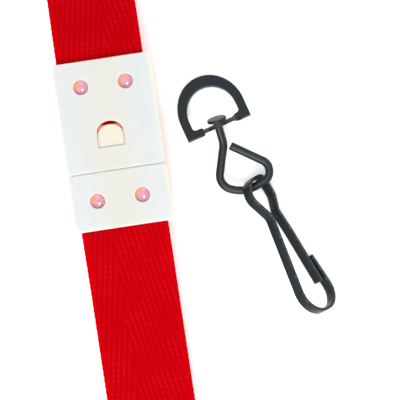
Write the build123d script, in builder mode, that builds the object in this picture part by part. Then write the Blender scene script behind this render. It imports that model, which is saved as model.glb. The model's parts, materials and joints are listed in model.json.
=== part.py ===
from build123d import *
from math import asin, cos, degrees, radians, sin
import os

# Saxophone neck strap: folded webbing loop, two-half breakaway buckle, D-ring, swivel eye and snap hook.
# Frame: X across the webbing, Y along it, Z up. The origin lies on the rest surface under the buckle's seam.
# The hook assembly lies beside the strap, loose, as before the webbing is threaded through the D-ring.

os.makedirs("parts", exist_ok=True)

# ---- webbing: one flat woven band, folded back and forth under its own top layer ----
WEB_WIDTH = 25.0
WEB_THICK = 1.3
LAYER_PITCH = 1.65
LAYERS = 6
FOLD_HIGH_Y = 64.0
FOLD_LOW_Y = -86.0
TURN_Y = -88.0
RISE_LENGTH = 18.0
MOUTH_RUN = 1.5
WEB_CUT = 0.15

# ---- buckle: female half above the seam (Y > 0), male half below it ----
BUCKLE_GAP = 0.3
BUCKLE_WIDTH = 28.1
BACK_OVERHANG = 0.3
FEMALE_LENGTH = 31.95
MALE_LENGTH = 16.45
SHELL_SPLIT = 3.0
BUCKLE_THICK = 6.6
WALL = 1.3
EDGE_ROUND = 0.4
PLAN_ROUND = 1.3
SEAM_GAP = 0.04
CUT_PAST = 1.0
WEB_CHANNEL_WIDTH = 25.8
WEB_CHANNEL_HEIGHT = 1.9
WEB_CHANNEL_LIFT = 0.05
WEB_END_CLEAR = 0.3
WEB_END_FEMALE = 13.6
WEB_END_MALE = -2.9

# ---- pins that lock the webbing ends ----
PIN_DIAMETER = 4.2
PIN_HOLE = 4.26
PIN_WEB_HOLE = 4.9
PIN_SPACING = 12.9
PIN_FEMALE_Y = FEMALE_LENGTH - 7.4
PIN_MALE_Y = -8.2
PIN_RECESS = 0.6
PIN_SEAT = 0.9
PIN_FLOOR_GAP = 0.05
PIN_DISH_RADIUS = 4.5
PIN_DISH_DEPTH = 0.3

# ---- tongue, latch finger and the arched window that the latch fills ----
TONGUE_WIDTH = 20.4
TONGUE_THICK = 2.2
TONGUE_REACH = 13.1
TONGUE_CLEAR = 0.3
TONGUE_TOP_GAP = 0.1
TONGUE_ROOT = 1.0
TONGUE_ROUND = 0.9
FINGER_WIDTH = 7.9
FINGER_THICK = 1.2
FINGER_ROOT = 0.6
FINGER_ROUND = 0.8
FINGER_SLOT = 0.4
FINGER_SLIT = 0.05
WINDOW_WIDTH = 7.6
WINDOW_FLAT_Y = 6.75
WINDOW_TOP_Y = 14.1
BOW_SHARE = 0.42
BUMP_WIDTH = 7.44
BUMP_FLAT_Y = 6.83
BUMP_TOP_Y = 13.0
BUMP_HEIGHT = 1.15
BUMP_SINK = 0.2

# ---- hook assembly: where its pieces lie ----
HOLE_X = 30.8
HOLE_Y = 8.3
HOLE_Z = 6.67
D_TURN = 15.64
STEM_TURN = 7.67
STEM_LIFT = 18.0
EYE_LIFT = 4.0
HOOK_X = 40.6
HOOK_Y = -10.86
HOOK_Z = 2.8
HOOK_TURN = 17.43
HOOK_PITCH = 6.9
HOOK_ROLL = 50.0

# ---- D-ring: stamped plate with its crossbar twisted on edge ----
D_HALF_WIDTH = 9.8
D_REACH = 11.7
D_INNER_HALF = 7.2
D_INNER_REACH = 8.2
D_CENTRE = 4.5
D_CORNER = 1.0
D_THICK = 1.2
D_BAR = 2.2
D_BAR_THICK = 1.15
D_TWIST_START = 6.6
D_TWIST_END = 4.6
TWIST_STEPS = 6
BAR_LIFT = 4.0
PAD_RADIUS = 2.3
PAD_LENGTH = 6.4
PAD_THICK = 1.2
PAD_HOLE = 3.2

# ---- swivel eye: round wire with a flat head, bent to a pear-shaped eye ----
WIRE_RADIUS = 1.2
HEAD_RADIUS = 2.8
HEAD_THICK = 0.85
HEAD_SEAT = 1.35
STEM_BEND = 5.57
STEM_BEND_REACH = 1.4

# ---- snap hook: flat strip, pinched between its two loops ----
STRIP_WIDTH = 3.0
STRIP_THICK = 1.0
STRIP_ROUND = 0.3
GATE_SLIT = 0.06


def export(part, name):
    """Label the part and write it as its own file."""
    part.label = name
    export_step(part, "parts/" + name + ".step")


def layer_z(number):
    """Height of the middle of a webbing layer, counted from 1 at the bottom."""
    return WEB_THICK / 2 + (number - 1) * LAYER_PITCH


BUCKLE_Z = layer_z(LAYERS - 1) + WEB_THICK / 2 + BUCKLE_GAP
SPLIT_Z = BUCKLE_Z + SHELL_SPLIT
WEB_IN_BUCKLE_Z = SPLIT_Z + WEB_CHANNEL_LIFT + WEB_CHANNEL_HEIGHT / 2
TOP_Z = layer_z(LAYERS)
MOUTH_FEMALE_Y = FEMALE_LENGTH + MOUTH_RUN
MOUTH_MALE_Y = -MALE_LENGTH - MOUTH_RUN
FRONT_Z = BUCKLE_Z + BUCKLE_THICK
TONGUE_TOP_Z = FRONT_Z - WALL - TONGUE_TOP_GAP
CHANNEL_HIGH_Z = WEB_IN_BUCKLE_Z + WEB_CHANNEL_HEIGHT / 2
CAVITY_END = WEB_END_FEMALE - WEB_END_CLEAR


def pin_places(y, z):
    """The two pin positions across the webbing at one height."""
    return [(-PIN_SPACING / 2, y, z), (PIN_SPACING / 2, y, z)]


# ---------------------------------------------------------------- webbing
def rise(y_low, z_low, y_high, z_high):
    """Gentle S-shaped run between two level runs of webbing."""
    middle = ((y_low + y_high) / 2, (z_low + z_high) / 2)
    length = (y_high - y_low) / 2
    height = (z_high - z_low) / 2
    radius = (length**2 + height**2) / (2 * height)
    half_turn = asin(length / radius) / 2
    step_y = radius * sin(half_turn)
    step_z = radius * (1 - cos(half_turn))
    ThreePointArc((y_low, z_low), (y_low + step_y, z_low + step_z), middle)
    ThreePointArc(middle, (y_high - step_y, z_high - step_z), (y_high, z_high))


# Fixed length: from the female half up to the first fold, then to and fro down to the bottom layer.
with BuildPart() as strap_webbing:
    with BuildSketch(Plane.YZ):
        with BuildLine():
            Line((WEB_END_FEMALE + WEB_THICK / 2, WEB_IN_BUCKLE_Z), (MOUTH_FEMALE_Y, WEB_IN_BUCKLE_Z))
            rise(MOUTH_FEMALE_Y, WEB_IN_BUCKLE_Z, MOUTH_FEMALE_Y + RISE_LENGTH, TOP_Z)
            Line((MOUTH_FEMALE_Y + RISE_LENGTH, TOP_Z), (FOLD_HIGH_Y, TOP_Z))
            for layer in range(LAYERS, 1, -1):
                fold_y = FOLD_HIGH_Y if layer % 2 == 0 else FOLD_LOW_Y
                bulge = LAYER_PITCH / 2 if layer % 2 == 0 else -LAYER_PITCH / 2
                fold_z = (layer_z(layer) + layer_z(layer - 1)) / 2
                ThreePointArc(
                    (fold_y, layer_z(layer)),
                    (fold_y + bulge, fold_z),
                    (fold_y, layer_z(layer - 1)),
                )
                if layer > 2:
                    Line((FOLD_HIGH_Y, layer_z(layer - 1)), (FOLD_LOW_Y, layer_z(layer - 1)))
            Line((FOLD_HIGH_Y, layer_z(1)), (TURN_Y, layer_z(1)))
            offset(amount=WEB_THICK / 2, side=Side.BOTH)
        make_face()
    extrude(amount=WEB_WIDTH / 2, both=True)
    split(bisect_by=Plane.XZ.offset(-TURN_Y - WEB_CUT), keep=Keep.BOTTOM)
    with Locations(*pin_places(PIN_FEMALE_Y, WEB_IN_BUCKLE_Z)):
        Cylinder(PIN_WEB_HOLE / 2, 2 * WEB_THICK, mode=Mode.SUBTRACT)
export(strap_webbing.part, "strap_webbing")

# The outer turn carries the band from the bottom layer back up to the top; it deforms when the buckle parts.
with BuildPart() as strap_turn:
    with BuildSketch(Plane.YZ):
        with BuildLine():
            turn_radius = (TOP_Z - layer_z(1)) / 2
            ThreePointArc(
                (TURN_Y, TOP_Z),
                (TURN_Y - turn_radius, (TOP_Z + layer_z(1)) / 2),
                (TURN_Y, layer_z(1)),
            )
            offset(amount=WEB_THICK / 2, side=Side.BOTH)
        make_face()
    extrude(amount=WEB_WIDTH / 2, both=True)
    split(bisect_by=Plane.XZ.offset(-TURN_Y + WEB_CUT), keep=Keep.TOP)
export(strap_turn.part, "strap_turn")

# The tail runs from the outer turn into the male half and travels with it.
with BuildPart() as strap_tail:
    with BuildSketch(Plane.YZ):
        with BuildLine():
            rise_low_y = MOUTH_MALE_Y - RISE_LENGTH
            Line((TURN_Y, TOP_Z), (rise_low_y, TOP_Z))
            rise(rise_low_y, TOP_Z, MOUTH_MALE_Y, WEB_IN_BUCKLE_Z)
            Line((MOUTH_MALE_Y, WEB_IN_BUCKLE_Z), (WEB_END_MALE - WEB_THICK / 2, WEB_IN_BUCKLE_Z))
            offset(amount=WEB_THICK / 2, side=Side.BOTH)
        make_face()
    extrude(amount=WEB_WIDTH / 2, both=True)
    split(bisect_by=Plane.XZ.offset(-TURN_Y - WEB_CUT), keep=Keep.BOTTOM)
    with Locations(*pin_places(PIN_MALE_Y, WEB_IN_BUCKLE_Z)):
        Cylinder(PIN_WEB_HOLE / 2, 2 * WEB_THICK, mode=Mode.SUBTRACT)
export(strap_tail.part, "strap_tail")


# ---------------------------------------------------------------- buckle shells
def shell_block(y_low, y_high, z_low, z_high, width):
    """Plain block of one shell, rounded in plan."""
    with BuildSketch(Plane.XY.offset(z_low)) as outline:
        with Locations((0, (y_low + y_high) / 2)):
            RectangleRounded(width, y_high - y_low, PLAN_ROUND)
    extrude(outline.sketch, amount=z_high - z_low)


def pocket(width, y_low, y_high, z_low, z_high):
    """Square pocket cut across the middle of a shell."""
    with Locations((0, (y_low + y_high) / 2, (z_low + z_high) / 2)):
        Box(width, y_high - y_low, z_high - z_low, mode=Mode.SUBTRACT)


def front_pin_bores(y):
    """Two pin bores right through a front shell."""
    with Locations(*pin_places(y, FRONT_Z)):
        Cylinder(PIN_HOLE / 2, 2 * (FRONT_Z - SPLIT_Z + CUT_PAST), mode=Mode.SUBTRACT)


def back_pin_bores(y):
    """Two blind pin bores in a back shell, from the split down to the pins' seats."""
    bore = SPLIT_Z + CUT_PAST - BUCKLE_Z - PIN_SEAT
    with Locations(*pin_places(y, SPLIT_Z + CUT_PAST - bore / 2)):
        Cylinder(PIN_HOLE / 2, bore, mode=Mode.SUBTRACT)


def arch(width, flat_y, top_y, z):
    """Arched outline: straight across the bottom, straight sides, a flattened bow above."""
    half = width / 2
    shoulder_y = top_y - BOW_SHARE * width
    with BuildSketch(Plane.XY.offset(z)) as outline:
        with Locations((0, shoulder_y)):
            Ellipse(half, top_y - shoulder_y)
        with Locations((0, (flat_y + shoulder_y) / 2)):
            Rectangle(width, shoulder_y - flat_y)
        with Locations((0, flat_y - half)):
            Rectangle(2 * width, width, mode=Mode.SUBTRACT)
    return outline.sketch


# Female front shell: window, upper part of the tongue cavity, and the webbing channel.
with BuildPart() as female_front_shell:
    shell_block(SEAM_GAP / 2, FEMALE_LENGTH, SPLIT_Z, FRONT_Z, BUCKLE_WIDTH)
    fillet(female_front_shell.faces().sort_by(Axis.Z)[-1].edges(), EDGE_ROUND)
    pocket(TONGUE_WIDTH + 2 * TONGUE_CLEAR, -CUT_PAST, CAVITY_END, SPLIT_Z - CUT_PAST, FRONT_Z - WALL)
    pocket(WEB_CHANNEL_WIDTH, CAVITY_END - WEB_CUT, MOUTH_FEMALE_Y, SPLIT_Z - CUT_PAST, CHANNEL_HIGH_Z)
    window = arch(WINDOW_WIDTH, WINDOW_FLAT_Y, WINDOW_TOP_Y, FRONT_Z + CUT_PAST)
    extrude(window, amount=-(WALL + 2 * CUT_PAST), mode=Mode.SUBTRACT)
    front_pin_bores(PIN_FEMALE_Y)
export(female_front_shell.part, "female_front_shell")

# Female back shell: closes the channel; slightly larger all round, so it shows as a thin line.
with BuildPart() as female_back_shell:
    back_width = BUCKLE_WIDTH + 2 * BACK_OVERHANG
    shell_block(SEAM_GAP / 2, FEMALE_LENGTH + BACK_OVERHANG, BUCKLE_Z, SPLIT_Z, back_width)
    fillet(female_back_shell.faces().sort_by(Axis.Z)[0].edges(), EDGE_ROUND)
    pocket(TONGUE_WIDTH + 2 * TONGUE_CLEAR, -CUT_PAST, CAVITY_END, BUCKLE_Z + WALL, SPLIT_Z + CUT_PAST)
    back_pin_bores(PIN_FEMALE_Y)
export(female_back_shell.part, "female_back_shell")

# Male front shell: carries the tongue's two side rails and the root of the latch finger.
with BuildPart() as male_front_shell:
    shell_block(-MALE_LENGTH, -SEAM_GAP / 2, SPLIT_Z, FRONT_Z, BUCKLE_WIDTH)
    fillet(male_front_shell.faces().sort_by(Axis.Z)[-1].edges(), EDGE_ROUND)
    channel_end = WEB_END_MALE + WEB_END_CLEAR
    pocket(WEB_CHANNEL_WIDTH, MOUTH_MALE_Y, channel_end, SPLIT_Z - CUT_PAST, CHANNEL_HIGH_Z)
    front_pin_bores(PIN_MALE_Y)
    with BuildSketch(Plane.XY.offset(TONGUE_TOP_Z - TONGUE_THICK)):
        with Locations((0, (TONGUE_REACH - TONGUE_ROOT) / 2)):
            RectangleRounded(TONGUE_WIDTH, TONGUE_REACH + TONGUE_ROOT, TONGUE_ROUND)
        with Locations((0, (FINGER_ROOT + TONGUE_REACH + CUT_PAST) / 2)):
            Rectangle(
                FINGER_WIDTH + 2 * FINGER_SLOT,
                TONGUE_REACH + CUT_PAST - FINGER_ROOT,
                mode=Mode.SUBTRACT,
            )
    extrude(amount=TONGUE_THICK)
export(male_front_shell.part, "male_front_shell")

# Male back shell: plain cover over the webbing end.
with BuildPart() as male_back_shell:
    shell_block(
        -MALE_LENGTH - BACK_OVERHANG, -SEAM_GAP / 2, BUCKLE_Z, SPLIT_Z, BUCKLE_WIDTH + 2 * BACK_OVERHANG
    )
    fillet(male_back_shell.faces().sort_by(Axis.Z)[0].edges(), EDGE_ROUND)
    back_pin_bores(PIN_MALE_Y)
export(male_back_shell.part, "male_back_shell")

# Latch finger: flexible strip cut free in the tongue, with an arched bump that fills the window.
with BuildPart() as latch_finger:
    with BuildSketch(Plane.XY.offset(TONGUE_TOP_Z - FINGER_THICK)):
        with Locations((0, (FINGER_ROOT + FINGER_SLIT + TONGUE_REACH) / 2)):
            RectangleRounded(FINGER_WIDTH, TONGUE_REACH - FINGER_ROOT - FINGER_SLIT, FINGER_ROUND)
    extrude(amount=FINGER_THICK)
    bump = arch(BUMP_WIDTH, BUMP_FLAT_Y, BUMP_TOP_Y, TONGUE_TOP_Z - BUMP_SINK)
    extrude(bump, amount=BUMP_HEIGHT + BUMP_SINK)
export(latch_finger.part, "latch_finger")


# ---------------------------------------------------------------- pins
def pin_pair(y):
    """Two pins with a shallow dish in the end that shows in the front shell."""
    pin_low_z = BUCKLE_Z + PIN_SEAT + PIN_FLOOR_GAP
    pin_high_z = FRONT_Z - PIN_RECESS
    with Locations(*pin_places(y, (pin_low_z + pin_high_z) / 2)):
        Cylinder(PIN_DIAMETER / 2, pin_high_z - pin_low_z)
    with Locations(*pin_places(y, pin_high_z + PIN_DISH_RADIUS - PIN_DISH_DEPTH)):
        Sphere(PIN_DISH_RADIUS, mode=Mode.SUBTRACT)


with BuildPart() as female_pins:
    pin_pair(PIN_FEMALE_Y)
export(female_pins.part, "female_pins")

with BuildPart() as male_pins:
    pin_pair(PIN_MALE_Y)
export(male_pins.part, "male_pins")


# ---------------------------------------------------------------- hook assembly planes
def along(turn, lift):
    """Unit vector running down the hook, turned from -Y towards +X and lifted from the floor."""
    return Vector(
        sin(radians(turn)) * cos(radians(lift)),
        -cos(radians(turn)) * cos(radians(lift)),
        sin(radians(lift)),
    )


def across(turn):
    """Level unit vector square to a turned direction, pointing towards +X."""
    return Vector(cos(radians(turn)), sin(radians(turn)), 0)


HOLE = Vector(HOLE_X, HOLE_Y, HOLE_Z)

# The D-ring leans down until its bow touches the rest surface.
D_LEAN = degrees(asin((HOLE_Z - D_THICK / 2) / (D_CENTRE + D_REACH)))
D_PLANE = Plane(
    origin=HOLE,
    x_dir=across(D_TURN),
    z_dir=across(D_TURN).cross(-along(D_TURN, D_LEAN)),
)
EYE_PLANE_START = HOLE + along(STEM_TURN, -STEM_LIFT) * (STEM_BEND / cos(radians(STEM_LIFT)))
EYE_PLANE = Plane(
    origin=EYE_PLANE_START,
    x_dir=across(STEM_TURN),
    z_dir=across(STEM_TURN).cross(-along(STEM_TURN, -EYE_LIFT)),
)

# The crossbar's middle is twisted almost upright, so its hole lies nearly level along the ring's length.
BAR_TWIST = 90 - BAR_LIFT - D_LEAN


def bar_normal(share):
    """Direction that the crossbar's flat face looks in, part of the way through its twist."""
    turn = radians(share * BAR_TWIST)
    return D_PLANE.z_dir * cos(turn) + D_PLANE.y_dir * sin(turn)


BAR_PLANE = Plane(origin=HOLE, x_dir=across(D_TURN), z_dir=bar_normal(1))


# D-ring, drawn in its own plane: crossbar along X through the origin, bow towards +Y.
with BuildPart() as d_ring:
    with BuildSketch(D_PLANE.offset(-D_THICK / 2)):
        with Locations((0, D_CENTRE)):
            Ellipse(D_HALF_WIDTH, D_REACH)
        with Locations((0, D_CENTRE - 3 * D_REACH / 2)):
            Rectangle(3 * D_HALF_WIDTH, 3 * D_REACH, mode=Mode.SUBTRACT)
        with Locations((0, (D_CENTRE - D_BAR / 2) / 2)):
            Rectangle(2 * D_HALF_WIDTH, D_CENTRE + D_BAR / 2)
        with Locations((0, D_CENTRE)):
            Ellipse(D_INNER_HALF, D_INNER_REACH, mode=Mode.SUBTRACT)
        with Locations((0, (D_CENTRE + D_CORNER + D_BAR / 2) / 2)):
            RectangleRounded(
                2 * D_INNER_HALF,
                D_CENTRE + D_CORNER - D_BAR / 2,
                D_CORNER,
                mode=Mode.SUBTRACT,
            )
        Rectangle(2 * D_TWIST_START, 2 * D_BAR, mode=Mode.SUBTRACT)
    extrude(amount=D_THICK)
    # The crossbar leaves each corner flat and turns until it stands upright.
    for side in (-1, 1):
        twist_sections = []
        for step in range(TWIST_STEPS + 1):
            share = step / TWIST_STEPS
            reach = D_TWIST_START - share * (D_TWIST_START - D_TWIST_END)
            section_plane = Plane(
                origin=D_PLANE.from_local_coords((side * reach, 0, 0)),
                x_dir=D_PLANE.x_dir.cross(bar_normal(share)),
                z_dir=D_PLANE.x_dir,
            )
            with BuildSketch(section_plane) as twist_section:
                Rectangle(D_BAR, D_BAR_THICK)
            twist_sections.append(twist_section.sketch)
        loft(twist_sections)
    with BuildSketch(BAR_PLANE.offset(-PAD_THICK / 2)):
        Rectangle(2 * D_TWIST_END, D_BAR)
        Ellipse(PAD_LENGTH / 2, PAD_RADIUS)
        Circle(PAD_HOLE / 2, mode=Mode.SUBTRACT)
    extrude(amount=PAD_THICK)
export(d_ring.part, "d_ring")

# Swivel eye: headed stem through the crossbar, then a pear-shaped bow that stops short of the stem.
EYE_TURNS = [
    (-4.9, 11.3, 4.2),
    (2.0, 15.05, 9.0),
    (10.75, 13.05, 3.4),
    (10.5, 8.6, 3.0),
]
EYE_END = (1.75, 1.0)
with BuildPart() as swivel_eye:
    stem_axis = along(STEM_TURN, -STEM_LIFT)
    stem_top = HOLE - stem_axis * (HEAD_SEAT + HEAD_THICK / 2)
    bow_length = (EYE_TURNS[0][0] ** 2 + EYE_TURNS[0][1] ** 2) ** 0.5
    bow_start = (
        EYE_TURNS[0][0] * STEM_BEND_REACH / bow_length,
        -EYE_TURNS[0][1] * STEM_BEND_REACH / bow_length,
    )
    with BuildLine(EYE_PLANE) as bow_line:
        FilletPolyline(
            bow_start,
            *[(x, -y) for x, y, r in EYE_TURNS],
            (EYE_END[0], -EYE_END[1]),
            radius=[r for x, y, r in EYE_TURNS],
        )
    with BuildLine() as eye_line:
        bend_start = EYE_PLANE.origin - stem_axis * STEM_BEND_REACH
        Line(stem_top, bend_start)
        Bezier(bend_start, EYE_PLANE.origin, EYE_PLANE.from_local_coords((*bow_start, 0)))
        add(bow_line.line)
    with BuildSketch(Plane(origin=stem_top, z_dir=stem_axis)):
        Circle(WIRE_RADIUS)
    sweep(path=eye_line.wires()[0])
    with BuildSketch(Plane(origin=HOLE - stem_axis * HEAD_SEAT, z_dir=-stem_axis)):
        Circle(HEAD_RADIUS)
    extrude(amount=HEAD_THICK)
export(swivel_eye.part, "swivel_eye")


# ---------------------------------------------------------------- snap hook
HOOK_START = Vector(HOOK_X, HOOK_Y, HOOK_Z)
HOOK_DOWN = along(HOOK_TURN, HOOK_PITCH)
HOOK_UP = across(HOOK_TURN).cross(-HOOK_DOWN)
HOOK_ACROSS = across(HOOK_TURN) * cos(radians(HOOK_ROLL)) - HOOK_UP * sin(radians(HOOK_ROLL))
HOOK_PLANE = Plane(origin=HOOK_START, x_dir=HOOK_ACROSS, z_dir=HOOK_ACROSS.cross(-HOOK_DOWN))

# Middle line of the strip, from the tip round the big loop and the small loop to the waist.
TIP_START = (5.1, 23.85)
BODY_TURNS = [
    (8.35, 39.2, 5.6),
    (-7.1, 40.7, 6.4),
    (-3.1, 9.5, 2.4),
    (-7.9, 2.35, 4.1),
    (-5.45, -2.35, 5.0),
    (1.45, -3.1, 2.0),
    (2.25, 3.45, 3.6),
]
GATE_START_Y = 6.6
GATE_TURNS = [
    (0.55, 8.1, 2.0),
    (1.9, 14.8, 6.0),
]
GATE_END = (4.25, 31.9)

# The gate starts on the straight run between the small loop and the waist.
RUN_SLOPE = (GATE_TURNS[0][0] - BODY_TURNS[-1][0]) / (GATE_TURNS[0][1] - BODY_TURNS[-1][1])
GATE_START = (BODY_TURNS[-1][0] + RUN_SLOPE * (GATE_START_Y - BODY_TURNS[-1][1]), GATE_START_Y)


def strip_section(start, after):
    """Cross-section of the flat strip, square to the run between two points of the hook's plane."""
    run = HOOK_PLANE.from_local_coords((after[0], -after[1], 0)) - HOOK_PLANE.from_local_coords(
        (start[0], -start[1], 0)
    )
    section_plane = Plane(
        origin=HOOK_PLANE.from_local_coords((start[0], -start[1], 0)),
        x_dir=HOOK_PLANE.z_dir,
        z_dir=run,
    )
    with BuildSketch(section_plane) as section:
        RectangleRounded(STRIP_WIDTH, STRIP_THICK, STRIP_ROUND)
    return section.sketch


def hook_point(x, y):
    """Point of the hook's plane, with y measured down the hook."""
    return HOOK_PLANE.from_local_coords((x, -y, 0))


with BuildPart() as snap_hook:
    with BuildLine(HOOK_PLANE) as hook_line:
        FilletPolyline(
            (TIP_START[0], -TIP_START[1]),
            *[(x, -y) for x, y, r in BODY_TURNS],
            (GATE_START[0], -GATE_START[1]),
            radius=[r for x, y, r in BODY_TURNS],
        )
    sweep(strip_section(TIP_START, BODY_TURNS[0]), path=hook_line.wires()[0])
export(snap_hook.part, "snap_hook")

with BuildPart() as snap_gate:
    with BuildLine(HOOK_PLANE) as gate_line:
        FilletPolyline(
            (GATE_START[0] + RUN_SLOPE * GATE_SLIT, -GATE_START[1] - GATE_SLIT),
            *[(x, -y) for x, y, r in GATE_TURNS],
            (GATE_END[0], -GATE_END[1]),
            radius=[r for x, y, r in GATE_TURNS],
        )
    sweep(strip_section(GATE_START, GATE_TURNS[0]), path=gate_line.wires()[0])
export(snap_gate.part, "snap_gate")
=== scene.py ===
import json
import math

import bpy
import numpy as np
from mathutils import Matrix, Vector


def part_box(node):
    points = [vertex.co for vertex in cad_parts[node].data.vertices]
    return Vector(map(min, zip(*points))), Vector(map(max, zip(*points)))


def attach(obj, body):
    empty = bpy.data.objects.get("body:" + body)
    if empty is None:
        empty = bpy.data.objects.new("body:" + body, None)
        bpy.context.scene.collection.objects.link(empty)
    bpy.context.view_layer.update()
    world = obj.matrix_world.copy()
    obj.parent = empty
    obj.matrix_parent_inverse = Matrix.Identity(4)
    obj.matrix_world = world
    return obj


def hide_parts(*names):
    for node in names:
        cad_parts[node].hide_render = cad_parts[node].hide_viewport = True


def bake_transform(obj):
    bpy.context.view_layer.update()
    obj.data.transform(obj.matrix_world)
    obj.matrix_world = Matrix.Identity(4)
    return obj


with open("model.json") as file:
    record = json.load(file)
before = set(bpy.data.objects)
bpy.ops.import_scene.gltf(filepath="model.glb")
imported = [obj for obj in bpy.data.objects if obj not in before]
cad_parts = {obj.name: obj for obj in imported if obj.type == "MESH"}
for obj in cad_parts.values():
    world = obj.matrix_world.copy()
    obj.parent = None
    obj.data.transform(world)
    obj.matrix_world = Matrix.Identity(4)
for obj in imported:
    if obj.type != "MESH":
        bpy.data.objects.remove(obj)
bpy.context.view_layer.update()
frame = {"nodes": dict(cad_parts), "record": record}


# Looks of the saxophone neck strap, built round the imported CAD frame. Metres, Z up. The strap lies folded
# under its own top layer with the buckle on top, and the loose hook lies beside it.
RECORD = frame["record"]
JOINTS = {joint["name"]: joint for joint in RECORD["behaviour"]["joints"]}
MOUNTS = {mount["name"]: mount for mount in RECORD["mounts"]}
MM = 0.001

# ---- camera: straight above, turned so that the strap leans ----
VIEW_TURN = math.radians(-8.57)
VIEW_WIDTH = 114.6 * MM
VIEW_CENTRE = Vector((22.42, -12.13, 9.0)) * MM
LENS = 300.0
SENSOR = 36.0

# ---- webbing; columns, rows and floats are those of its weave ----
WEB_WIDTH = 25.0 * MM
WEB_THICK = 1.3 * MM
LAYERS = 6
WEB_STEP = 0.42 * MM
WEB_COLUMNS = 66
WEB_BACK_COLUMNS = 8
WEB_EDGE = 0.55 * MM
DOT_ACROSS = 1.53 * MM
DOT_ALONG = 1.68 * MM
DOT_LEAN = 0.18
DOT_HEIGHT = 0.05 * MM
TOOTH = 0.11 * MM
SPINE_START = 2.4 * MM
SPINE_END = -3.9 * MM
SELVEDGE = 1.3 * MM
SELVEDGE_FADE = 0.6 * MM
SELVEDGE_FLOATS = 0.6
FLOAT_SHARPNESS = 1.4
EDGE_BENDS = [60, 20, -20, -60]

# ---- hook assembly; turns, lifts and pitches are in degrees ----
EYE_LIFT = 4.0
WIRE_RADIUS = 1.2 * MM
HEAD_RADIUS = 2.8 * MM
HEAD_THICK = 0.85 * MM
HEAD_SEAT = 1.35 * MM
HEAD_STEPS = 48
STEM_BEND = 5.57 * MM
STEM_BEND_REACH = 1.4 * MM
STEM_BEND_STEPS = 12
WIRE_STEP = 0.28 * MM
WIRE_STEPS_ROUND = 28
WIRE_CHAMFER = 0.12 * MM
HOOK_TURN = 17.43
HOOK_PITCH = 6.9
STRIP_WIDTH = 3.0 * MM
STRIP_THICK = 1.0 * MM
STRIP_ROUND = 0.3 * MM
STRIP_STEP = 0.3 * MM
STRIP_CHAMFER = 0.15 * MM
CORNER_STEPS = 4

# ---- width of the rounded rims on the pieces that are shown as the CAD has them ----
SHELL_RIM = 0.1 * MM
LATCH_RIM = 0.3 * MM
RING_RIM = 0.2 * MM

# ---- fineness of curves ----
SAME_POINT = 1e-9
ARC_STEPS = 48
RISE_STEPS = 40


# ================================================================ camera
def add_camera():
    data = bpy.data.cameras.new("camera")
    data.lens = LENS
    data.sensor_width = SENSOR
    data.clip_end = 20
    camera = bpy.data.objects.new("camera", data)
    bpy.context.scene.collection.objects.link(camera)
    camera.location = VIEW_CENTRE + Vector((0, 0, VIEW_WIDTH * LENS / SENSOR))
    camera.rotation_euler = (0, 0, VIEW_TURN)
    bpy.context.scene.camera = camera


add_camera()


# ================================================================ mesh helpers
def add_mesh(name, points, faces, sharp_angle=40):
    """New smooth-shaded mesh object; edges sharper than the given angle stay crisp."""
    mesh = bpy.data.meshes.new(name)
    mesh.from_pydata([tuple(p) for p in points], [], faces)
    mesh.polygons.foreach_set("use_smooth", [True] * len(mesh.polygons))
    mesh.set_sharp_from_angle(angle=math.radians(sharp_angle))
    mesh.update()
    item = bpy.data.objects.new(name, mesh)
    bpy.context.scene.collection.objects.link(item)
    return item


def tube_faces(rings, around):
    """Quads between neighbouring closed rings of points, with a cap on each end ring."""
    faces = []
    for i in range(rings - 1):
        for k in range(around):
            n = (k + 1) % around
            faces.append((i * around + k, i * around + n, (i + 1) * around + n, (i + 1) * around + k))
    faces.append(tuple(reversed(range(around))))
    faces.append(tuple((rings - 1) * around + k for k in range(around)))
    return faces


def resample(points, step):
    """The same path with evenly spaced points."""
    gaps = np.linalg.norm(np.diff(points, axis=0), axis=1)
    points = points[np.concatenate([[True], gaps > SAME_POINT])]
    lengths = np.concatenate([[0], np.cumsum(gaps[gaps > SAME_POINT])])
    wanted = np.linspace(0, lengths[-1], int(round(lengths[-1] / step)) + 1)
    return np.stack([np.interp(wanted, lengths, column) for column in points.T], axis=1)


def arc(centre, start, turn):
    """Points from a start point round a centre, in the plane; turn is in radians, positive anticlockwise."""
    arm = np.array(start) - np.array(centre)
    angles = np.linspace(0, turn, ARC_STEPS)
    return np.stack(
        [
            centre[0] + arm[0] * np.cos(angles) - arm[1] * np.sin(angles),
            centre[1] + arm[0] * np.sin(angles) + arm[1] * np.cos(angles),
        ],
        axis=1,
    )


def rounded_path(corners, radii):
    """Straight runs joined by tangent arcs; one radius for each inner corner."""
    corners = np.array(corners, float)
    runs = [corners[:1]]
    for before, corner, after, radius in zip(corners, corners[1:], corners[2:], radii):
        into = (corner - before) / np.linalg.norm(corner - before)
        out = (after - corner) / np.linalg.norm(after - corner)
        turn = math.atan2(into[0] * out[1] - into[1] * out[0], into @ out)
        start = corner - into * radius * math.tan(abs(turn) / 2)
        side = math.copysign(radius, turn)
        runs.append(arc(start + side * np.array([-into[1], into[0]]), start, turn))
    runs.append(corners[-1:])
    return np.concatenate(runs)


def unit(vectors):
    """Each row at unit length."""
    return vectors / np.linalg.norm(vectors, axis=1)[:, None]


# ================================================================ shader helpers
def display(red, green, blue):
    """Linear colour from display values of 0 to 255."""
    return tuple(c / 12.92 if c <= 0.04045 else ((c + 0.055) / 1.055) ** 2.4 for c in
                 (red / 255, green / 255, blue / 255))


# Inputs of a Mix node for colours (share, first, second), and its output.
MIX_INPUTS = (0, 6, 7)
MIX_OUTPUT = 2


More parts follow.
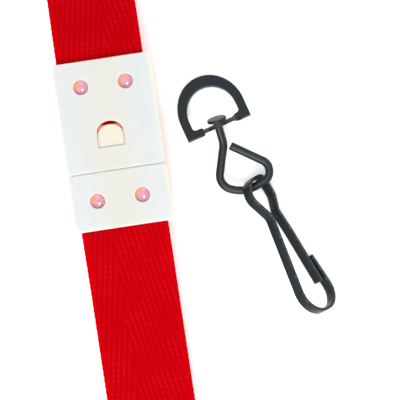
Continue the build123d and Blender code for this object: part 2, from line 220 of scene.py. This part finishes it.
class Finish:
    """A material whose node tree is built with short calls."""

    def __init__(self, name, **sockets):
        self.material = bpy.data.materials.new(name)
        self.material.use_nodes = True
        self.tree = self.material.node_tree
        self.shader = self.tree.nodes["Principled BSDF"]
        for key, value in sockets.items():
            self.shader.inputs[key.replace("_", " ")].default_value = value

    def node(self, kind, inputs=(), **settings):
        """New node; inputs are numbers, colours or other nodes' outputs, by name or number."""
        made = self.tree.nodes.new("ShaderNode" + kind)
        for key, value in settings.items():
            setattr(made, key, value)
        for key, value in dict(inputs).items():
            if isinstance(value, bpy.types.NodeSocket):
                self.tree.links.new(value, made.inputs[key])
            else:
                made.inputs[key].default_value = value
        return made

    def math(self, operation, first, second=0.0):
        return self.node("Math", {0: first, 1: second}, operation=operation).outputs[0]

    def wave(self, phase):
        """1 where the phase is a whole number, 0 half way between."""
        swing = self.math("COSINE", self.math("MULTIPLY", phase, 2 * math.pi))
        return self.node("Math", {0: swing, 1: 0.5, 2: 0.5}, operation="MULTIPLY_ADD").outputs[0]

    def noise(self, place, scale, detail=3.0, roughness=0.5):
        inputs = {"Vector": place, "Scale": scale, "Detail": detail, "Roughness": roughness}
        return self.node("TexNoise", inputs).outputs["Fac"]

    def spread(self, value, low, high, to_low=0.0, to_high=1.0):
        """Value mapped from one range to another, held at the ends."""
        inputs = {0: value, 1: low, 2: high, 3: to_low, 4: to_high}
        return self.node("MapRange", inputs, clamp=True).outputs[0]

    def mix(self, share, first, second, blend_type="MIX"):
        made = self.tree.nodes.new("ShaderNodeMix")
        made.data_type = "RGBA"
        made.blend_type = blend_type
        for index, value in zip(MIX_INPUTS, (share, first, second)):
            if isinstance(value, bpy.types.NodeSocket):
                self.tree.links.new(value, made.inputs[index])
            elif isinstance(value, tuple):
                made.inputs[index].default_value = (*value, 1)
            else:
                made.inputs[index].default_value = value
        return made.outputs[MIX_OUTPUT]

    def wire(self, **sockets):
        """Link node outputs to the shader's sockets."""
        for key, output in sockets.items():
            self.tree.links.new(output, self.shader.inputs[key.replace("_", " ")])

    def relief(self, height, distance, strength):
        inputs = {"Height": height, "Distance": distance, "Strength": strength}
        self.wire(Normal=self.node("Bump", inputs).outputs[0])

    def glow_inside(self, weight, depth):
        """Let light travel a little way through the plastic."""
        self.shader.inputs["Subsurface Weight"].default_value = weight
        self.shader.inputs["Subsurface Radius"].default_value = (1, 0.9, 0.8)
        self.shader.inputs["Subsurface Scale"].default_value = depth

    def plastic_grain(self, place):
        """Fine grain of moulded plastic, raised a little; the grain itself is returned."""
        grain = self.noise(place, 5200, detail=3)
        self.relief(grain, 0.012 * MM, 0.6)
        return grain

    def place(self):
        return self.node("TexCoord").outputs["Object"]


# ================================================================ materials
# How strongly, and how deep, light enters the pale plastic.
PLASTIC_GLOW = 0.8
PLASTIC_DEPTH = 2.4 * MM

# Painted shading: the shells turn from their middle tint to their side tint between these distances from the
# centre line.
SIDE_SHADING_FROM = 5 * MM
SIDE_SHADING_TO = 15 * MM
SIDE_SHADING_WANDER = 9 * MM

# Painted light: the shells' walls brighten between these depths under their top.
WALL_LIGHT_FROM = 0.15 * MM
WALL_LIGHT_TO = 0.8 * MM

# Painted light on the latch's ledge: depths under the bump's top, and distances back from the finger's end
# over which the painted orange glow sets in.
LEDGE_FROM = 0.35 * MM
LEDGE_TO = 0.9 * MM
LEDGE_GLOW_FROM = 3.4 * MM
LEDGE_GLOW_TO = 1.6 * MM

# The selvedge's colour sets in between these distances from the middle of the band, in millimetres.
SELVEDGE_TINT_FROM = 10.6
SELVEDGE_TINT_TO = 12.2


def webbing_finish():
    """Red woven band: rows of raised floats with a painted pinker highlight, brighter selvedges, fine
    fibres.
    """
    m = Finish("red_webbing", Roughness=0.95, Specular_IOR_Level=0.0)
    weave = m.node("Attribute", attribute_name="weave").outputs["Vector"]
    columns, rows, middle = m.node("SeparateXYZ", {0: weave}).outputs
    ground_red = display(153, 0, 5)
    # painted highlight: the floats' tops are coloured a lighter pink
    float_highlight_pink = display(166, 8, 22)
    selvedge_red = display(170, 0, 7)
    picks = m.spread(m.wave(rows), 0.0, 1.0, 0.35, 1.0)
    floats = m.math("MULTIPLY", m.math("POWER", m.wave(columns), 1.6), picks)
    patches = m.noise(m.place(), 150, detail=2)
    # where the painted highlight shows on the floats
    shown = m.math("MULTIPLY", floats, m.spread(patches, 0.35, 0.62, 0.25, 1.0))
    field = m.mix(shown, ground_red, float_highlight_pink)
    selvedge = m.spread(middle, SELVEDGE_TINT_FROM, SELVEDGE_TINT_TO)
    banded = m.mix(selvedge, field, selvedge_red)
    fibre_place = m.node("Mapping", {"Vector": weave, "Scale": (9, 2.2, 0)}).outputs[0]
    fibres = m.noise(fibre_place, 1.0, detail=4, roughness=0.6)
    shade = m.spread(fibres, 0.3, 0.7, 0.88, 1.06)
    grey = m.node("CombineColor", {0: shade, 1: shade, 2: shade}).outputs[0]
    m.wire(Base_Color=m.mix(1.0, banded, grey, "MULTIPLY"))
    m.relief(fibres, 0.05 * MM, 0.5)
    return m.material


def shell_finish(name, middle, sides, painted_wall_light):
    """Pale moulded plastic with painted shading: one tint in its middle, one at its sides, and painted light
    on upright walls.
    """
    m = Finish(name, Roughness=0.42, Specular_IOR_Level=0.3)
    m.glow_inside(PLASTIC_GLOW, PLASTIC_DEPTH)
    place = m.place()
    across, _, height = m.node("SeparateXYZ", {0: place}).outputs
    distance = m.math("ABSOLUTE", across)
    clouds = m.noise(place, 90, detail=2)
    wandering = {0: clouds, 1: SIDE_SHADING_WANDER, 2: distance}
    wander = m.node("Math", wandering, operation="MULTIPLY_ADD").outputs[0]
    # painted shading: a warmer tint in the middle and a cooler one towards the sides
    shading_tint = m.mix(m.spread(wander, SIDE_SHADING_FROM, SIDE_SHADING_TO), middle, sides)
    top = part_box("female_front_shell")[1].z
    # painted light: below the top, the walls are coloured brighter than the top
    wall_light_share = m.spread(height, top - WALL_LIGHT_TO, top - WALL_LIGHT_FROM, 1.0, 0.0)
    m.wire(Base_Color=m.mix(wall_light_share, shading_tint, painted_wall_light))
    m.wire(Roughness=m.spread(m.plastic_grain(place), 0.3, 0.7, 0.36, 0.5))
    return m.material


def latch_finish():
    """Cream plastic of the latch's bump; the lower ledge beyond it gets painted light, pale farther back and
    a painted orange glow towards the finger's end.
    """
    m = Finish("cream_plastic", Roughness=0.4, Specular_IOR_Level=0.3)
    m.glow_inside(PLASTIC_GLOW, PLASTIC_DEPTH)
    place = m.place()
    clouds = m.noise(place, 600, detail=3)
    cream = m.mix(clouds, display(188, 181, 164), display(194, 190, 180))
    # painted light on the lower ledge: pale, and a painted orange glow near the finger's end
    painted_ledge_light = display(246, 240, 226)
    painted_orange_glow = display(255, 134, 84)
    _, reach, height = m.node("SeparateXYZ", {0: place}).outputs
    _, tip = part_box("latch_finger")
    # share of the ledge that gets painted light, deeper under the bump's top
    ledge = m.spread(height, tip.z - LEDGE_TO, tip.z - LEDGE_FROM, 1.0, 0.0)
    beyond = m.spread(reach, tip.y - LEDGE_GLOW_FROM, tip.y - LEDGE_GLOW_TO)
    m.wire(Base_Color=m.mix(ledge, cream, m.mix(beyond, painted_ledge_light, painted_orange_glow)))
    m.plastic_grain(place)
    return m.material


def pin_finish():
    """Glossy pale pins with painted light: lilac pink in the dish for red light from the webbing, painted
    orange light on its warm side, and one painted white glint.
    """
    m = Finish("pin_painted_webbing_light", Roughness=0.18, Specular_IOR_Level=0.7)
    m.glow_inside(0.5, 1.2 * MM)
    # painted orange light on the warm side of each dish's rim
    painted_rim_glow = m.node("Attribute", attribute_name="painted_rim_glow").outputs["Fac"]
    clouds = m.noise(m.place(), 1500, detail=2)
    edge = m.node("Math", {0: clouds, 1: 0.25, 2: painted_rim_glow}, operation="MULTIPLY_ADD").outputs[0]
    share = m.spread(edge, 0.78, 1.05)
    flecks = m.spread(m.noise(m.place(), 3400, detail=2), 0.52, 0.68)
    # lilac pink is painted red light from the webbing; orange is painted light on the warm side
    lilac, pale_lilac = display(172, 104, 122), display(206, 168, 172)
    orange, painted_glint_white = display(214, 128, 90), display(236, 214, 208)
    pin_light_colour = m.mix(share, m.mix(flecks, lilac, pale_lilac), orange)
    # painted white highlight
    glint = m.node("Attribute", attribute_name="glint").outputs["Fac"]
    m.wire(Base_Color=m.mix(m.spread(glint, 0.35, 0.75), pin_light_colour, painted_glint_white))
    facets = m.noise(m.place(), 2600, detail=2)
    m.relief(facets, 0.12 * MM, 0.8)
    return m.material


def coating_finish():
    """Satin black-green coating on steel, with fine orange peel and slightly rubbed corners."""
    m = Finish("dark_coating", Roughness=0.32, Specular_IOR_Level=0.29)
    place = m.place()
    clouds = m.noise(place, 420, detail=3)
    rubbed_grey = display(92, 104, 106)
    colour = m.mix(clouds, display(7, 17, 23), display(16, 29, 34))
    corner = m.node("Attribute", attribute_name="corner").outputs["Fac"]
    patches = m.noise(place, 900, detail=5, roughness=0.65)
    rubbed = m.math("MULTIPLY", corner, m.spread(patches, 0.5, 0.68))
    m.wire(Base_Color=m.mix(rubbed, colour, rubbed_grey))
    peel = m.noise(place, 3800, detail=3)
    m.wire(Roughness=m.spread(peel, 0.3, 0.7, 0.26, 0.38))
    m.relief(peel, 0.02 * MM, 0.55)
    return m.material


WEBBING = webbing_finish()
# Each shell: middle and side tints of painted shading, then the painted light of its walls.
SHELL = shell_finish("white_plastic", display(183, 182, 174), display(181, 184, 185),
                     display(246, 242, 232))
BACK_SHELL = shell_finish("cream_back_plastic", display(204, 196, 164), display(202, 197, 170),
                          display(240, 228, 188))
LATCH = latch_finish()
PIN = pin_finish()
COATING = coating_finish()


def dress(item, material):
    """Give a piece its material."""
    item.data.materials.clear()
    item.data.materials.append(material)


def soften(item, radius):
    """Join the flat facets of a CAD node and round its sharp rims a little."""
    merge = item.modifiers.new("merge", "DECIMATE")
    merge.decimate_type = "DISSOLVE"
    merge.angle_limit = math.radians(1.0)
    bevel = item.modifiers.new("bevel", "BEVEL")
    bevel.width = radius
    bevel.segments = 2
    bevel.limit_method = "ANGLE"
    bevel.angle_limit = math.radians(35)
    bevel.harden_normals = True


def finish_node(name, material, rim):
    """Dress a CAD node that is shown with its own shape, and soften its rims."""
    dress(frame["nodes"][name], material)
    soften(frame["nodes"][name], rim)


# ================================================================ webbing
web_low, web_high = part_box("strap_webbing")
_, turn_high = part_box("strap_turn")
_, tail_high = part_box("strap_tail")
_, female_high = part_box("female_front_shell")
male_low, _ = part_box("male_front_shell")
IN_BUCKLE_Z = web_high.z - WEB_THICK / 2
TOP_Z = turn_high.z - WEB_THICK / 2
LAYER_PITCH = (TOP_Z - WEB_THICK / 2) / (LAYERS - 1)
FOLD_HIGH_Y = web_high.y - (LAYER_PITCH + WEB_THICK) / 2
TURN_Y = (web_low.y + turn_high.y) / 2
FOLD_INSET = 2 * MM
MOUTH_RUN = 1.5 * MM
LATCH_CLEAR = 0.25 * MM
RISE_LENGTH = 18 * MM


def layer_z(number):
    """Height of the middle of a layer, counted from 1 at the bottom."""
    return WEB_THICK / 2 + (number - 1) * LAYER_PITCH


def rise(y_start, z_start, y_end, z_end):
    """Gentle S-shaped run between two levels."""
    share = np.linspace(0, 1, RISE_STEPS)
    smooth = share * share * (3 - 2 * share)
    return np.stack([y_start + (y_end - y_start) * share, z_start + (z_end - z_start) * smooth], axis=1)


def folded_path():
    """(Y, Z) from the webbing's end in the female half, to and fro, to the foot of the outer turn."""
    start_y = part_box("latch_finger")[1].y + LATCH_CLEAR
    mouth_y = female_high.y + MOUTH_RUN
    runs = [[(start_y, IN_BUCKLE_Z)], rise(mouth_y, IN_BUCKLE_Z, mouth_y + RISE_LENGTH, TOP_Z)]
    for layer in range(LAYERS, 1, -1):
        at_high_end = layer % 2 == 0
        fold_y = FOLD_HIGH_Y if at_high_end else TURN_Y + FOLD_INSET
        centre = (fold_y, (layer_z(layer) + layer_z(layer - 1)) / 2)
        runs.append(arc(centre, (fold_y, layer_z(layer)), -math.pi if at_high_end else math.pi))
    runs.append([(TURN_Y, layer_z(1))])
    return np.concatenate(runs)


def tail_path():
    """(Y, Z) from the foot of the outer turn, up round it and along the top into the male half."""
    mouth_y = male_low.y - MOUTH_RUN
    turn = arc((TURN_Y, (TOP_Z + layer_z(1)) / 2), (TURN_Y, layer_z(1)), -math.pi)
    climb = rise(mouth_y - RISE_LENGTH, TOP_Z, mouth_y, IN_BUCKLE_Z)
    return np.concatenate([turn, climb, [(tail_high.y, IN_BUCKLE_Z)]])


def path_length(path):
    return float(np.linalg.norm(np.diff(path, axis=0), axis=1).sum())


FOLDED_LENGTH = path_length(folded_path())
TAIL_LENGTH = path_length(tail_path())


def weave_counts(across, along):
    """How many columns and rows of floats lie before a point; the columns lean away from a slow spine."""
    spine = SPINE_START + (SPINE_END - SPINE_START) * along / (FOLDED_LENGTH + TAIL_LENGTH)
    return (np.abs(across - spine) + DOT_LEAN * along) / DOT_ACROSS, along / DOT_ALONG


def wave(phase):
    """1 where the phase is a whole number, 0 half way between."""
    return 0.5 + 0.5 * np.cos(2 * np.pi * phase)


def band_section():
    """Closed cross-section of the band: place across, height, and how far round an edge, for each point."""
    half = WEB_WIDTH / 2 - WEB_EDGE
    front = np.linspace(-half, half, WEB_COLUMNS)
    back = np.linspace(half, -half, WEB_BACK_COLUMNS)
    bend = np.radians(EDGE_BENDS)
    across = np.concatenate([front, [half] * len(bend), back, [-half] * len(bend)])
    height = np.concatenate([np.ones(WEB_COLUMNS), np.sin(bend), -np.ones(WEB_BACK_COLUMNS), -np.sin(bend)])
    reach = np.concatenate([0 * front, np.cos(bend), 0 * back, -np.cos(bend)])
    return across, height * WEB_THICK / 2, reach


def webbing(name, path, along_start):
    """Band of webbing along a path, with its floats raised on the front face and toothed selvedges."""
    points = resample(path, WEB_STEP)
    tangent = unit(np.gradient(points, axis=0))
    outward = np.stack([-tangent[:, 1], tangent[:, 0]], axis=1)
    along = along_start + np.arange(len(points)) * path_length(points) / (len(points) - 1)
    base, height, reach = band_section()
    rows = along / DOT_ALONG
    edge = WEB_EDGE - TOOTH * wave(rows)
    across = base[None, :] + edge[:, None] * reach[None, :]
    columns, rows_grid = weave_counts(across, along[:, None] + 0 * across)
    inner = np.clip((WEB_WIDTH / 2 - SELVEDGE - np.abs(across)) / SELVEDGE_FADE, 0, 1)
    floats = inner * wave(columns) ** FLOAT_SHARPNESS * wave(rows_grid)
    floats += (1 - inner) * SELVEDGE_FLOATS * wave(rows_grid)
    on_front = (height[None, :] >= WEB_THICK / 2 - SAME_POINT).astype(float)
    lift = height[None, :] + on_front * DOT_HEIGHT * (floats - 1)
    ring_y = points[:, :1] + outward[:, :1] * lift
    ring_z = points[:, 1:] + outward[:, 1:] * lift
    grid = np.stack([across, ring_y, ring_z], axis=2)
    item = add_mesh(name, grid.reshape(-1, 3), tube_faces(len(points), len(base)), sharp_angle=60)
    weave = np.stack([columns, rows_grid, np.abs(across) / MM], axis=2).astype(np.float32)
    item.data.attributes.new("weave", "FLOAT_VECTOR", "POINT").data.foreach_set("vector", weave.ravel())
    dress(item, WEBBING)
    return item


band = webbing("webbing_folded", folded_path(), 0.0)
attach(band, "strap")
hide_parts("strap_webbing")

tail = webbing("webbing_tail", tail_path(), FOLDED_LENGTH)
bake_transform(tail)
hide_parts("strap_tail", "strap_turn")


# ================================================================ buckle
for half in ("female", "male"):
    finish_node(half + "_front_shell", SHELL, SHELL_RIM)
    finish_node(half + "_back_shell", BACK_SHELL, SHELL_RIM)
finish_node("latch_finger", LATCH, LATCH_RIM)

PIN_SINK = 0.42 * MM
PIN_RIM = 0.12 * MM
PIN_EDGE_SHARE = 1.3
PIN_DISH_EDGE = 0.7
PIN_DISH_MIDDLE = 1.15
PIN_DISH_CURVE = 0.45
PIN_DISH_SHARES = (0.9, 0.8, 0.7, 0.6, 0.5, 0.4, 0.3, 0.2, 0.08)
PIN_DISH_RADIUS = 1.7 * MM
PIN_DISH_SHIFT = Vector((0.22, -0.1)) * MM
# Side of each dish where orange light is painted.
PIN_WARM_SIDE = math.radians(140)
# Place and size of the painted white highlight in each dish.
PIN_GLINT = Vector((0.37, -0.65)) * MM
PIN_GLINT_SIZE = 0.42 * MM
PIN_STEPS = 40


def pin_rings(low_z, high_z, radius):
    """(radius, height, share of the dish's shift, share of the way to the rim) from the foot to the dish."""
    outline = [(radius - PIN_RIM, low_z)]
    outline.append((radius, low_z + PIN_RIM))
    outline.append((radius, high_z - PIN_RIM))
    outline.append((radius - 0.3 * PIN_RIM, high_z - 0.3 * PIN_RIM))
    outline.append((radius - PIN_RIM, high_z))
    rings = [(across, height, 0, PIN_EDGE_SHARE) for across, height in outline]
    rings.append((PIN_DISH_RADIUS, high_z - PIN_DISH_EDGE * PIN_SINK, 1, 1.0))
    for share in PIN_DISH_SHARES:
        sink = PIN_SINK * (PIN_DISH_MIDDLE - PIN_DISH_CURVE * share**2)
        rings.append((PIN_DISH_RADIUS * share, high_z - sink, 1, share))
    return rings


def pins(name, node, body):
    """The two pins of one buckle half, each dished off centre in the end that shows."""
    low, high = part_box(node)
    radius = (high.y - low.y) / 2
    angles = np.linspace(0, 2 * np.pi, PIN_STEPS, endpoint=False)
    points, faces, painted_rim_glow, glint = [], [], [], []
    for centre_x in (low.x + radius, high.x - radius):
        first = len(points)
        rings = pin_rings(low.z, high.z, radius)
        for ring_radius, height, shift, share in rings:
            for angle in angles:
                x = centre_x + shift * PIN_DISH_SHIFT.x + ring_radius * math.cos(angle)
                y = low.y + radius + shift * PIN_DISH_SHIFT.y + ring_radius * math.sin(angle)
                points.append((x, y, height))
                # Shares of the painted orange light and of the painted white highlight.
                painted_rim_glow.append(share * (0.5 + 0.5 * math.cos(angle - PIN_WARM_SIDE)))
                miss = (Vector((x - centre_x, y - low.y - radius)) - PIN_GLINT).length
                glint.append(math.exp(-((miss / PIN_GLINT_SIZE) ** 2)))
        faces += [tuple(first + k for k in face) for face in tube_faces(len(rings), PIN_STEPS)]
    item = add_mesh(name, points, faces, sharp_angle=50)
    item.data.attributes.new("painted_rim_glow", "FLOAT", "POINT").data.foreach_set("value", painted_rim_glow)
    item.data.attributes.new("glint", "FLOAT", "POINT").data.foreach_set("value", glint)
    dress(item, PIN)
    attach(item, body)
    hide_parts(node)


pins("female_pin_heads", "female_pins", "strap")
pins("male_pin_heads", "male_pins", "male_half")


# ================================================================ hook assembly
def along(turn, lift):
    """Unit vector running down the hook, turned from -Y towards +X and lifted from the floor; degrees."""
    turn, lift = math.radians(turn), math.radians(lift)
    return Vector((math.sin(turn) * math.cos(lift), -math.cos(turn) * math.cos(lift), math.sin(lift)))


class Level:
    """A flat drawing plane in space: u to the right, v down the hook."""

    def __init__(self, origin, right, down):
        self.origin = origin
        self.right = right
        self.down = down
        self.normal = -right.cross(down)

    def points(self, path):
        """3-D points of a path of (u, v) pairs."""
        path = np.array(path, float)
        return np.array(self.origin) + path[:, :1] * np.array(self.right) + path[:, 1:] * np.array(self.down)


def carried_sides(points, first_side):
    """Two vectors square to a path at each of its points, turned about it as little as possible."""
    tangents = unit(np.gradient(points, axis=0))
    side = np.array(first_side, float)
    sides = []
    for tangent in tangents:
        side = side - (side @ tangent) * tangent
        side = side / np.linalg.norm(side)
        sides.append(side)
    sides = np.array(sides)
    return sides, np.cross(tangents, sides)


def sweep(points, section, first_side, chamfer_start, chamfer_end):
    """Rings of a closed (side, other) section carried along a path; a chamfered end closes in a little."""
    lengths = np.concatenate([[0], np.cumsum(np.linalg.norm(np.diff(points, axis=0), axis=1))])
    sides, others = carried_sides(points, first_side)
    inset = np.maximum(0, chamfer_start - lengths) + np.maximum(0, chamfer_end - (lengths[-1] - lengths))
    section = np.array(section)
    spans = np.abs(section).max(axis=0)
    grow = 1 - inset[:, None, None] / spans[None, None, :]
    scaled = section[None, :, :] * grow
    rings = points[:, None, :] + scaled[:, :, :1] * sides[:, None, :] + scaled[:, :, 1:] * others[:, None, :]
    return rings.reshape(-1, 3)


def round_section(radius, count):
    """Circle as (side, other) pairs."""
    angles = np.linspace(0, 2 * np.pi, count, endpoint=False)
    return radius * np.stack([np.cos(angles), np.sin(angles)], axis=1)


def strip_section():
    """Rectangle with rounded corners, and how near each of its points is to a corner."""
    half_width, half_thick = STRIP_WIDTH / 2 - STRIP_ROUND, STRIP_THICK / 2 - STRIP_ROUND
    middle_step = CORNER_STEPS / 2
    points, near = [], []
    for quarter, (sx, sy) in enumerate([(1, 1), (-1, 1), (-1, -1), (1, -1)]):
        for step in range(CORNER_STEPS + 1):
            angle = math.radians(90 * quarter + 90 / CORNER_STEPS * step)
            side = sx * half_width + STRIP_ROUND * math.cos(angle)
            other = sy * half_thick + STRIP_ROUND * math.sin(angle)
            points.append((side, other))
            near.append(1.0 - abs(step - middle_step) / middle_step)
    return points, near


hole = Vector(JOINTS["swivel_spin"]["pos_m"])
stem = -Vector(JOINTS["swivel_spin"]["axis"]).normalized()
STEM_TURN = math.degrees(math.atan2(stem.x, -stem.y))
eye_origin = hole + stem * (STEM_BEND / math.sqrt(1 - stem.z**2))
eye_down = along(STEM_TURN, -EYE_LIFT)
eye_right = Vector((math.cos(math.radians(STEM_TURN)), math.sin(math.radians(STEM_TURN)), 0))
EYE = Level(eye_origin, eye_right, eye_down)
# Corners and radii of the eye and of the hook are in millimetres.
EYE_CORNERS = [(-4.9, 11.3), (2.0, 15.05), (10.75, 13.05), (10.5, 8.6), (1.75, 1.0)]
EYE_RADII = [4.2, 9.0, 3.4, 3.0]

hook_normal = Vector(MOUNTS["hook_loop"]["axis"]).normalized()
hook_down = along(HOOK_TURN, HOOK_PITCH)
hook_right = (-hook_down).cross(hook_normal).normalized()
TIP_START = (5.1, 23.85)
BODY_CORNERS = [
    (8.35, 39.2),
    (-7.1, 40.7),
    (-3.1, 9.5),
    (-7.9, 2.35),
    (-5.45, -2.35),
    (1.45, -3.1),
    (2.25, 3.45),
]
BODY_RADII = [5.6, 6.4, 2.4, 4.1, 5.0, 2.0, 3.6]
GATE_CORNERS = [(0.55, 8.1), (1.9, 14.8)]
GATE_RADII = [2.0, 6.0]
GATE_START_Y = 6.6
GATE_END = (4.25, 31.9)
run_slope = (GATE_CORNERS[0][0] - BODY_CORNERS[-1][0]) / (GATE_CORNERS[0][1] - BODY_CORNERS[-1][1])
GATE_START = (BODY_CORNERS[-1][0] + run_slope * (GATE_START_Y - BODY_CORNERS[-1][1]), GATE_START_Y)
gate_pivot = Vector(JOINTS["gate_press"]["pos_m"])
# The recorded hinge lies on the strip's inner face, half its thickness from the middle line.
gate_middle = gate_pivot + hook_right * STRIP_THICK / 2
hook_origin = gate_middle - hook_right * GATE_START[0] * MM - hook_down * GATE_START[1] * MM
HOOK = Level(hook_origin, hook_right, hook_down)


def strip(name, path, chamfer_start, chamfer_end):
    """Piece of the hook's flat strip along a path in the hook's plane, in millimetres."""
    points = resample(HOOK.points(path * MM), STRIP_STEP)
    section, near = strip_section()
    rings = sweep(points, section, HOOK.normal, chamfer_start, chamfer_end)
    item = add_mesh(name, rings, tube_faces(len(points), len(section)), sharp_angle=50)
    item.data.attributes.new("corner", "FLOAT", "POINT").data.foreach_set("value", near * len(points))
    dress(item, COATING)
    return item


body_path = rounded_path([TIP_START, *BODY_CORNERS, GATE_START], BODY_RADII)
hook_body = strip("hook_strip", body_path, STRIP_CHAMFER, 0.0)
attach(hook_body, "hook")
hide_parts("snap_hook")

gate_path = rounded_path([GATE_START, *GATE_CORNERS, GATE_END], GATE_RADII)
gate_strip = strip("gate_strip", gate_path, 0.0, STRIP_CHAMFER)
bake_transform(gate_strip)
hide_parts("snap_gate")


def swivel_wire():
    """Round wire: the stem through the crossbar, a bend, and the pear-shaped eye."""
    corners = np.array(EYE_CORNERS) * MM
    bow_start = corners[0] * (STEM_BEND_REACH / np.linalg.norm(corners[0]))
    bow = EYE.points(rounded_path([bow_start, *corners], [r * MM for r in EYE_RADII]))
    bend_start = np.array(eye_origin - stem * STEM_BEND_REACH)
    share = np.linspace(0, 1, STEM_BEND_STEPS)[:, None]
    bend = (1 - share) ** 2 * bend_start + 2 * share * (1 - share) * np.array(eye_origin) + share**2 * bow[0]
    stem_top = np.array(hole - stem * (HEAD_SEAT + HEAD_THICK / 2))
    points = resample(np.concatenate([[stem_top], bend, bow]), WIRE_STEP)
    section = round_section(WIRE_RADIUS, WIRE_STEPS_ROUND)
    rings = sweep(points, section, EYE.normal, 0.0, WIRE_CHAMFER)
    wire = add_mesh("swivel_wire", rings, tube_faces(len(points), len(section)), sharp_angle=50)
    dress(wire, COATING)
    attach(wire, "swivel")
    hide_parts("swivel_eye")


# The head's outline as shares of its radius and of its thickness, from its seat to its top.
HEAD_PROFILE = [(0.93, 0.0), (1.0, 0.1), (1.0, 0.72), (0.975, 0.88), (0.91, 0.97), (0.6, 1.0), (0.2, 1.0)]


def swivel_head():
    """Round, slightly domed head that the wire hangs from in the crossbar."""
    seat = np.array(hole - stem * HEAD_SEAT)
    side = np.array(stem.cross(Vector((0, 0, 1))).normalized())
    other = np.array(-stem.cross(Vector(side)))
    rings = []
    for radius, height in HEAD_PROFILE:
        centre = seat - np.array(stem) * height * HEAD_THICK
        circle = round_section(radius * HEAD_RADIUS, HEAD_STEPS)
        rings.append(centre + circle[:, :1] * side + circle[:, 1:] * other)
    faces = tube_faces(len(HEAD_PROFILE), HEAD_STEPS)
    head = add_mesh("swivel_head", np.concatenate(rings), faces, sharp_angle=50)
    dress(head, COATING)
    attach(head, "swivel")


swivel_wire()
swivel_head()
finish_node("d_ring", COATING, RING_RIM)


# ================================================================ floor and light
FLOOR_HALF = 2.0
FLOOR_LINES = 5


def add_floor():
    steps = np.linspace(-FLOOR_HALF, FLOOR_HALF, FLOOR_LINES)
    points = [(x, y, 0) for y in steps for x in steps]
    faces = []
    for row in range(FLOOR_LINES - 1):
        for column in range(FLOOR_LINES - 1):
            first = FLOOR_LINES * row + column
            beyond = first + FLOOR_LINES
            faces.append((first, first + 1, beyond + 1, beyond))
    floor = add_mesh("floor", points, faces)
    m = Finish("pale_floor", Roughness=0.8, Specular_IOR_Level=0.1)
    grain = m.noise(m.place(), 300, detail=2)
    m.wire(Base_Color=m.mix(grain, display(250, 250, 250), display(254, 254, 254)))
    floor.data.materials.append(m.material)


def add_light(name, direction, distance, size, power):
    """Soft square light aimed at the middle of the view from a compass direction."""
    data = bpy.data.lights.new(name, "AREA")
    data.shape = "SQUARE"
    data.size = size
    data.energy = power
    light = bpy.data.objects.new(name, data)
    bpy.context.scene.collection.objects.link(light)
    direction = Vector(direction).normalized()
    light.location = VIEW_CENTRE + direction * distance
    light.rotation_euler = direction.to_track_quat("Z", "Y").to_euler()


def add_world(strength):
    world = bpy.data.worlds.new("studio")
    bpy.context.scene.world = world
    world.use_nodes = True
    background = world.node_tree.nodes["Background"]
    background.inputs["Color"].default_value = (1, 1, 1, 1)
    background.inputs["Strength"].default_value = strength


add_floor()
add_light("key", direction=(-0.3, -0.8, 1.0), distance=0.8, size=0.35, power=4.4)
add_light("top", direction=(0.1, 0.05, 1.0), distance=1.2, size=0.8, power=4.9)
add_world(strength=1.15)
bpy.context.scene.view_settings.view_transform = "Standard"
